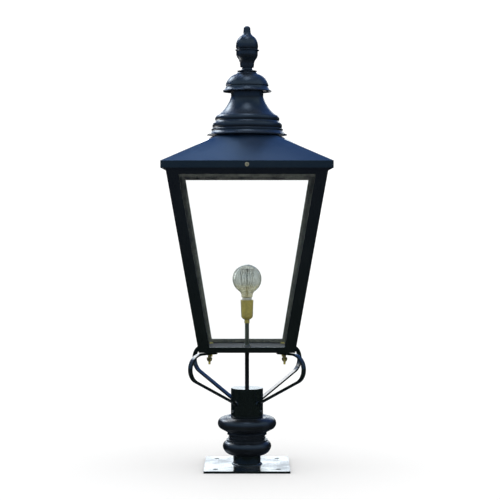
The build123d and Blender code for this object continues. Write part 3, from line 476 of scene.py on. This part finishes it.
def browned_brass(blackened):
    """Brass with a brown patina and grime. Its colour also darkens where it is seen edge on, as painted
    shade.
    """
    def build(coat):
        place = coat.place()
        patina = place.grain(170, 4, 0.65)
        rubbed = place.grain(520, 3)
        tone = (patina * 0.7 + rubbed * 0.3).step(0.35, 0.68)
        grime = (patina * 0.5 + rubbed * 0.5).step(0.66, 0.46) * blackened
        # Painted shade: the colour goes dark towards the rims, where the brass is seen edge on.
        rim = coat.glancing().step(0.5, 0.95) * 0.6
        metal = tone.mix(BRASS, BRASS_BROWN)
        return coat.node("ShaderNodeBsdfPrincipled", {}, {
            "Base Color": rim.mix(grime.mix(metal, BRASS_GRIME_AND_SHADE), BRASS_GRIME_AND_SHADE),
            "Metallic": 0.45 - 0.2 * tone,
            "Roughness": 0.3 + 0.22 * tone + 0.08 * (rubbed - 0.5),
            "Normal": rubbed.relief(0.00003, coat.soft_edges(0.0003)),
        })
    return build


brass = finish("browned_brass", browned_brass(STUD_GRIME))
nut_brass = finish("nut_brass", browned_brass(NUT_GRIME))
dress(["body_studs"], brass)
dress(["body_nuts"], nut_brass)

# ---------------------------------------------------------------- stem and locknuts
# A hollow threaded rod carries the cable from the collar up to the lamp holder, with a thin nut
# under the collar's disc and another on the tray. The studs' ends get their threads here too.

STEM_DULL = (0.15, 0.17, 0.13, 1)
STEM_STAIN = (0.06, 0.07, 0.05, 1)
STEM_RIM_SHADE = (0.01, 0.014, 0.008, 1)
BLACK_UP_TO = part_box("floor_tray")[0].z


def dark_zinc(coat):
    """Below the tray the rod is black like the frame; above it the plating has gone dark, and
    its colour darkens more where it is seen edge on, as painted shade."""
    place = coat.place()
    stain = place.stretch(70, 70, 14).grain(1, 4, 0.6)
    fine = place.grain(800, 2)
    above_tray = place.axis("Z").step(BLACK_UP_TO - 0.002, BLACK_UP_TO + 0.002)
    zinc_film = stain.step(0.3, 0.7).mix(STEM_DULL, STEM_STAIN)
    # Painted shade: the plating goes near black where the rod is seen edge on.
    plating_and_rim_shade = coat.glancing().step(0.35, 0.75).mix(zinc_film, STEM_RIM_SHADE)
    return coat.node("ShaderNodeBsdfPrincipled", {}, {
        "Base Color": above_tray.mix(BLACK, plating_and_rim_shade),
        "Metallic": 0.45 * above_tray,
        "Roughness": 0.34 + 0.2 * stain,
        "Normal": fine.relief(0.00003, coat.soft_edges(0.0003)),
    })


stem_zinc = finish("dark_zinc", dark_zinc)
dress(["stem_locknuts"], zinc)

THREAD_SIDES = 40
THREAD_STEPS = 4


def threaded(radius, bore, depth, pitch, bottom, top, x=0.0, y=0.0):
    """The closed skin of an upright bored rod with a helical thread."""
    rings = []
    steps = round((top - bottom) / pitch * THREAD_STEPS)
    for i in range(steps + 1):
        z = bottom + (top - bottom) * i / steps
        ring = []
        for k in range(THREAD_SIDES):
            phase = ((z - bottom) / pitch - k / THREAD_SIDES) % 1
            reach = radius - depth * abs(2 * phase - 1)
            turn = tau * k / THREAD_SIDES
            ring.append(Vector((x + reach * cos(turn), y + reach * sin(turn), z)))
        rings.append(ring)
    for z in (top, bottom):
        turns = [tau * k / THREAD_SIDES for k in range(THREAD_SIDES)]
        rings.append([Vector((x + bore * cos(t), y + bore * sin(t), z)) for t in turns])
    return skin_rings(rings, closed_path=True)


def joined(shells):
    """The points and faces of several shells as one mesh's."""
    points, faces = [], []
    for shell_points, shell_faces in shells:
        faces += [tuple(i + len(points) for i in face) for face in shell_faces]
        points += shell_points
    return points, faces


STEM_LOW, STEM_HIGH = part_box("stem")
STEM_RADIUS = STEM_HIGH.x
STEM_BORE = 0.0045
STEM_PITCH = 0.00125
STEM_THREAD_DEPTH = 0.0004
STUD_OFFSET = 0.101
STUD_RADIUS = 0.0033
STUD_BORE = 0.0026
STUD_THREAD_DEPTH = 0.0006
STUD_PITCH = 0.001
STUD_END_INSET = 0.0003
STUD_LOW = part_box("body_studs")[0].z + STUD_END_INSET
STUD_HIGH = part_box("body_nuts")[0].z + STUD_END_INSET

stem_skin = threaded(STEM_RADIUS, STEM_BORE, STEM_THREAD_DEPTH, STEM_PITCH, STEM_LOW.z, STEM_HIGH.z)
stem = piece("stem_threaded", *stem_skin, stem_zinc, "lantern", "plated_steel")
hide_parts("stem")

stud_ends = [threaded(STUD_RADIUS, STUD_BORE, STUD_THREAD_DEPTH, STUD_PITCH, STUD_LOW, STUD_HIGH, x, y)
             for x in (-STUD_OFFSET, STUD_OFFSET) for y in (-STUD_OFFSET, STUD_OFFSET)]
piece("stud_threads", *joined(stud_ends), brass, "lantern", "aged_brass")

# ---------------------------------------------------------------- lamp holder
# Turned brass base and shell, browned, that stand on the stem's upper end. They hold a white
# ceramic insert with a sprung contact tab.

dress(["holder_base", "holder_shell", "holder_contact"], brass)

CERAMIC = (0.72, 0.7, 0.64, 1)
CERAMIC_CRAZED = (0.6, 0.57, 0.5, 1)


def glazed_ceramic(coat):
    """White glaze, browner where it is crazed."""
    place = coat.place()
    crackle = place.grain(420, 3)
    return coat.node("ShaderNodeBsdfPrincipled", {}, {
        "Base Color": crackle.step(0.4, 0.75).mix(CERAMIC, CERAMIC_CRAZED),
        "Roughness": 0.18 + 0.15 * crackle,
        "Normal": crackle.relief(0.00002, coat.soft_edges(0.0004)),
    })


ceramic = finish("glazed_ceramic", glazed_ceramic)
dress(["holder_insert"], ceramic)

# ---------------------------------------------------------------- bulb
# A clear globe on a nickel screw cap. Inside it, a glass mount with two beads of fine hooks that
# hold one long wire in a zigzag cage.

NICKEL = (0.7, 0.7, 0.62, 1)
NICKEL_RUBBED = (0.48, 0.48, 0.42, 1)


def bright_nickel(coat):
    """Plating that is dulled in patches where the cap has been screwed in and out."""
    place = coat.place()
    rub = place.grain(300, 4, 0.6)
    return coat.node("ShaderNodeBsdfPrincipled", {}, {
        "Base Color": rub.step(0.4, 0.75).mix(NICKEL, NICKEL_RUBBED),
        "Metallic": 0.5,
        "Roughness": 0.22 + 0.2 * rub,
        "Normal": rub.relief(0.00002, coat.soft_edges(0.0003)),
    })


nickel = finish("bright_nickel", bright_nickel)
dress(["bulb_cap"], nickel)

BULB_TINT = (0.83, 0.85, 0.84, 1)
BULB_GREY = (0.5, 0.53, 0.45, 1)
BULB_LOWER_REFLECTION = (0.74, 0.7, 0.42, 1)
BULB_CROWN = (0.9, 0.92, 0.84, 1)
BULB_RIM_SHADE = (0.16, 0.18, 0.14, 1)
BULB_GLOSS = (0.9, 0.94, 0.95, 1)
BULB_MIDDLE = 0.512
WIRE = (0.16, 0.15, 0.14, 1)
WIRE_DARK = (0.09, 0.085, 0.08, 1)


def bulb_clear(coat):
    """Glass that doesn't bend light, with a film in place of that, of painted refraction and reflection:
    pale at the crown, then grey, brownish from the middle down as a painted reflection of what lies
    below, and darker and thicker where the glass is seen edge on, as painted shade."""
    place = coat.place()
    ripple = place.grain(45, 2)
    mottle = place.grain(330, 4, 0.7)
    lower = (place.axis("Z") + 0.02 * (mottle - 0.5)).step(BULB_MIDDLE, BULB_MIDDLE - 0.02)
    crown = place.axis("Z").step(BULB_MIDDLE + 0.024, BULB_MIDDLE + 0.042)
    # The film's colours are painted reflection, and its darker rim is painted shade.
    tint = crown.mix(lower.mix(BULB_GREY, BULB_LOWER_REFLECTION), BULB_CROWN)
    rim = coat.glancing() ** 3
    clear = coat.node("ShaderNodeBsdfTransparent", {}, {"Color": BULB_TINT})
    film = coat.node("ShaderNodeBsdfPrincipled", {}, {
        "Base Color": rim.step(0.1, 0.6).mix(tint, BULB_RIM_SHADE), "Roughness": 0.4})
    gloss = coat.node("ShaderNodeBsdfGlossy", {}, {
        "Color": BULB_GLOSS, "Roughness": 0.05, "Normal": ripple.relief(0.0006)})
    film_amount = 0.02 + 0.36 * mottle.step(0.35, 0.7) * (1.0 - 0.6 * crown) + 0.14 * lower + 0.45 * rim
    filmed_glass = coat.node("ShaderNodeMixShader", {}, {0: film_amount, 1: clear, 2: film})
    return coat.node("ShaderNodeMixShader", {}, {0: 0.03 + 0.08 * rim, 1: filmed_glass, 2: gloss})


bulb_glass = finish("bulb_clear", bulb_clear)
dress(["bulb_glass", "bulb_mount"], bulb_glass)


def fine_wire(coat):
    """Drawn wire, greyed by heat."""
    place = coat.place()
    drawn = place.grain(900, 2)
    return coat.node("ShaderNodeBsdfPrincipled", {}, {
        "Base Color": drawn.mix(WIRE, WIRE_DARK),
        "Metallic": 0.9,
        "Roughness": 0.35 + 0.1 * drawn,
    })


wire = finish("fine_wire", fine_wire)
dress(["bulb_filament", "bulb_supports"], wire)

# ---------------------------------------------------------------- canopy: roof and fascia
# The roof is one sheet, beaten from square eaves up to a round neck, and the fascia is a folded
# band round the eaves. The sheet is a little uneven, which shows in its reflections, and its black
# is tinted blue as a painted reflection of the sky.

# Painted reflection: the roof's black is tinted blue for the sky above it.
ROOF_SKY_TINT = (0.003, 0.011, 0.028, 1)
ROOF_SKY_TINT_THIN = (0.006, 0.018, 0.044, 1)

sky_tinted_paint = gloss_paint(dust=0.1, roughness=0.3, waviness=0.0004, coat_weight=0.1,
                          colours=(ROOF_SKY_TINT, ROOF_SKY_TINT_THIN))
roof_paint = finish("roof_paint", sky_tinted_paint)
dress(["roof"], roof_paint)
dress(["fascia"], frame_paint)

# ---------------------------------------------------------------- moulding, chimney and cap
# Spun sheet: a skirted moulding on the roof's neck, a waisted throat, and a flared cap held clear
# above it on a rod, so that hot air gets out and rain doesn't get in.

SPUN_BLACK = (0.0012, 0.0042, 0.0095, 1)
SPUN_BLACK_THIN = (0.0028, 0.0074, 0.0155, 1)


def spun_paint(coat):
    """Paint over spun metal, with the faint rings of the spinning tool under it."""
    place = coat.place()
    cloud = place.grain(24, 3)
    rings = place.stretch(2, 2, 700).grain(1, 2)
    fine = place.grain(420, 3)
    settled = coat.upward().step(0.45, 1.0) * fine.step(0.4, 0.8) * 0.22
    base = cloud.relief(0.00035, coat.soft_edges(0.0006))
    return coat.node("ShaderNodeBsdfPrincipled", {}, {
        "Base Color": settled.mix(cloud.step(0.4, 0.7).mix(SPUN_BLACK, SPUN_BLACK_THIN), DUST),
        "Roughness": 0.34 + 0.08 * (fine - 0.5) + settled,
        "Normal": rings.relief(0.00003, base),
        "IOR": 1.5,
        "Coat Weight": 0.15,
        "Coat Roughness": 0.22,
    })


spinning_paint = finish("spinning_paint", spun_paint)
dress(["chimney_moulding", "chimney", "vent_cap"], spinning_paint)
dress(["cap_spider", "cap_spacer", "finial_rod", "rod_nut"], zinc)

# ---------------------------------------------------------------- finial
# Turned in one piece and screwed down on the rod that carries the cap. It has the same paint as
# the spun pieces below it.

dress(["finial"], spinning_paint)

# ---------------------------------------------------------------- hinges and the canopy's screw
# Two painted butt hinges on the back carry the canopy, on zinc pins. A socket screw in the front
# of the fascia, yellow passivated, locks it in a nut welded behind.

YELLOW_ZINC = (0.42, 0.38, 0.25, 1)
YELLOW_ZINC_DULL = (0.2, 0.18, 0.12, 1)

dress(["frame_hinge_leaves", "canopy_hinge_leaves"], frame_paint)
dress(["hinge_pins", "canopy_screw_nut"], zinc)
dress(["canopy_screw"], finish("yellow_zinc", dull_zinc(YELLOW_ZINC, YELLOW_ZINC_DULL, 0.55)))

HINGE_CENTRES = (-0.11, 0.11)
RIVET_SPACING = 0.026
RIVET_RADIUS = 0.0022
RIVET_RISE = 0.001
RIVET_SUNK = 0.0003
RIVET_RINGS = 7
RIVET_SIDES = 20
RIVET_BEND = 14
BODY_TAPER = 0.1704
BODY_LEAN = atan(BODY_TAPER)
FRAME_LEAF_FACE = 0.2133
FRAME_RIVET_HEIGHT = 0.806
CANOPY_LEAF_FACE = 0.2275
CANOPY_RIVET_HEIGHT = 0.8275


def rivet_heads(y, z, lean):
    """Painted rivet heads, two to each hinge, on a leaf that looks back and leans down."""
    heads = []
    out = Vector((0, cos(lean), -sin(lean)))
    down = Vector((0, -sin(lean), -cos(lean)))
    for centre in HINGE_CENTRES:
        for side in (-0.5, 0.5):
            middle = Vector((centre + side * RIVET_SPACING, y, z)) - out * RIVET_SUNK
            rings = []
            for k in range(RIVET_RINGS):
                bend = radians(RIVET_BEND * k)
                reach, rise = RIVET_RADIUS * cos(bend), RIVET_RISE * sin(bend)
                rings.append([middle + out * (rise + RIVET_SUNK * min(k, 1))
                              + Vector((1, 0, 0)) * (reach * cos(tau * n / RIVET_SIDES))
                              + down * (reach * sin(tau * n / RIVET_SIDES)) for n in range(RIVET_SIDES)])
            heads.append(skin_rings(rings, capped=True))
    return joined(heads)


piece("frame_leaf_rivets", *rivet_heads(FRAME_LEAF_FACE, FRAME_RIVET_HEIGHT, BODY_LEAN), frame_paint,
      "lantern", "black_paint")
piece("canopy_leaf_rivets", *rivet_heads(CANOPY_LEAF_FACE, CANOPY_RIVET_HEIGHT, 0.0), frame_paint,
      "canopy", "black_paint")

# ---------------------------------------------------------------- floor, light and camera
# A plain pale floor under soft light, which is even white all round. Only gloss sees another room,
# made up to give the paint its tones: dark behind the camera, with windows, sky and a bright wall.

PALE = 0.96
FLOOR_HALF = 30.0
FLOOR_HEIGHT = -0.0002

floor_corners = [(-FLOOR_HALF, -FLOOR_HALF), (FLOOR_HALF, -FLOOR_HALF),
                 (FLOOR_HALF, FLOOR_HALF), (-FLOOR_HALF, FLOOR_HALF)]
floor_mesh = bpy.data.meshes.new("floor")
floor_mesh.from_pydata([(x, y, FLOOR_HEIGHT) for x, y in floor_corners], [], [(0, 1, 2, 3)])
floor_mesh.materials.append(finish("floor_matt", lambda coat: coat.node(
    "ShaderNodeBsdfDiffuse", {}, {"Color": (PALE, PALE, PALE, 1)})))
floor = bpy.data.objects.new("floor", floor_mesh)
bpy.context.scene.collection.objects.link(floor)
floor.visible_glossy = False

world = bpy.data.worlds.new("soft_light")
world.use_nodes = True
bpy.context.scene.world = world
world.node_tree.nodes.clear()
sky = Coat(world.node_tree)
direction = sky.node("ShaderNodeTexCoord", out="Generated")
left_right, far, height = direction.axis("X"), direction.axis("Y"), direction.axis("Z")

DARK_ROOM = (0.03, 0.05, 0.042, 1)
DUSK_ROOM = (0.06, 0.075, 0.16, 1)
ROOM_HAZE = (0.13, 0.3, 0.62, 1)
ROOM_WINDOW = (0.45, 0.7, 0.95, 1)
FAR_LOW = (0.008, 0.016, 0.026, 1)
FAR_WHITE = (3.0, 3.3, 3.5, 1)
FAR_BLUE = (0.07, 0.2, 0.6, 1)
OVERHEAD = (2.6, 4.2, 7.2, 1)
ROOF_LIGHT = (3.2, 4.2, 5.6, 1)
LEFT_GLOW = (10.0, 11.5, 13.0, 1)
EVEN_LIGHT = (1.15, 1.15, 1.15, 1)
BACKDROP = (1.12, 1.12, 1.12, 1)


def glow(x, y, z, reach, fade):
    """1 towards a direction, 0 away from it: its reach and the fade beyond in degrees."""
    near = direction.dot(Vector((x, y, z)).normalized())
    return near.step(cos(radians(reach + fade)), cos(radians(reach)))


behind = far.step(0.0, 0.35)
middle = (left_right * left_right).step(0.2, 0.05)
gloss = (height.step(-0.42, -0.31) * height.step(-0.18, -0.26)).mix(DARK_ROOM, DUSK_ROOM)
gloss = height.step(-0.01, 0.05).mix(gloss, ROOM_HAZE)
gloss = (height.step(0.3, 0.45) * height.step(0.82, 0.7)).mix(gloss, ROOM_WINDOW)
gloss = behind.mix(gloss, FAR_LOW)
gloss = (behind * middle * height.step(0.1, 0.15)).mix(gloss, FAR_WHITE)
gloss = (behind * height.step(0.26, 0.38)).mix(gloss, FAR_BLUE)
gloss = glow(-0.14, 0.42, 0.9, 2, 9).mix(gloss, OVERHEAD)
gloss = glow(-0.55, 0.6, 0.58, 3, 10).mix(gloss, LEFT_GLOW)
gloss = glow(0, -0.26, 0.97, 3, 12).mix(gloss, ROOF_LIGHT)

rays = sky.node("ShaderNodeLightPath", out="Is Camera Ray")
even = rays.mix(EVEN_LIGHT, BACKDROP)
light = rays.out("Is Glossy Ray").mix(even, gloss)
background = sky.node("ShaderNodeBackground", {}, {"Color": light, "Strength": 1.0})
world_out = world.node_tree.nodes.new("ShaderNodeOutputWorld")
world.node_tree.links.new(background.socket, world_out.inputs["Surface"])

# Two white cards stand behind on the left, one near and one far. They show only in gloss, mostly
# that of the arms and rings. Each has its left and right edges, its depth, its foot and its top.
CARDS = [(-0.8, -0.28, 0.3, 0.5, 0.86), (-0.42, -0.04, 1.0, 0.88, 1.2)]
CARD_LIGHT = 6.5
CARD_WHITE = (0.96, 0.98, 1, 1)

card_points = []
for left, right, depth, low, high in CARDS:
    card_points += [(left, depth, low), (right, depth, low), (right, depth, high), (left, depth, high)]
card_mesh = bpy.data.meshes.new("cards")
card_mesh.from_pydata(card_points, [], [(0, 1, 2, 3), (4, 5, 6, 7)])
card_mesh.materials.append(finish("card_white", lambda coat: coat.node(
    "ShaderNodeEmission", {}, {"Color": CARD_WHITE, "Strength": CARD_LIGHT})))
cards = bpy.data.objects.new("cards", card_mesh)
bpy.context.scene.collection.objects.link(cards)
cards.visible_camera = False
cards.visible_diffuse = False
cards.visible_transmission = False
cards.visible_shadow = False

FOCAL_PIXELS = 1400
FRAME_PIXELS = 500
SENSOR = 36.0
HORIZON_ROW = 214
AXIS_COLUMN = 247
CAMERA_DISTANCE = 3.86
CAMERA_HEIGHT = 0.697

camera_data = bpy.data.cameras.new("camera")
camera_data.sensor_width = SENSOR
camera_data.lens = SENSOR * FOCAL_PIXELS / FRAME_PIXELS
camera_data.shift_x = (FRAME_PIXELS / 2 - AXIS_COLUMN) / FRAME_PIXELS
camera_data.clip_end = 100
camera = bpy.data.objects.new("camera", camera_data)
bpy.context.scene.collection.objects.link(camera)
camera.location = (0, -CAMERA_DISTANCE, CAMERA_HEIGHT)
pitch = atan((FRAME_PIXELS / 2 - HORIZON_ROW) / FOCAL_PIXELS)
camera.rotation_euler = (pi / 2 - pitch, 0, 0)
bpy.context.scene.camera = camera
bpy.context.scene.view_settings.view_transform = "Standard"
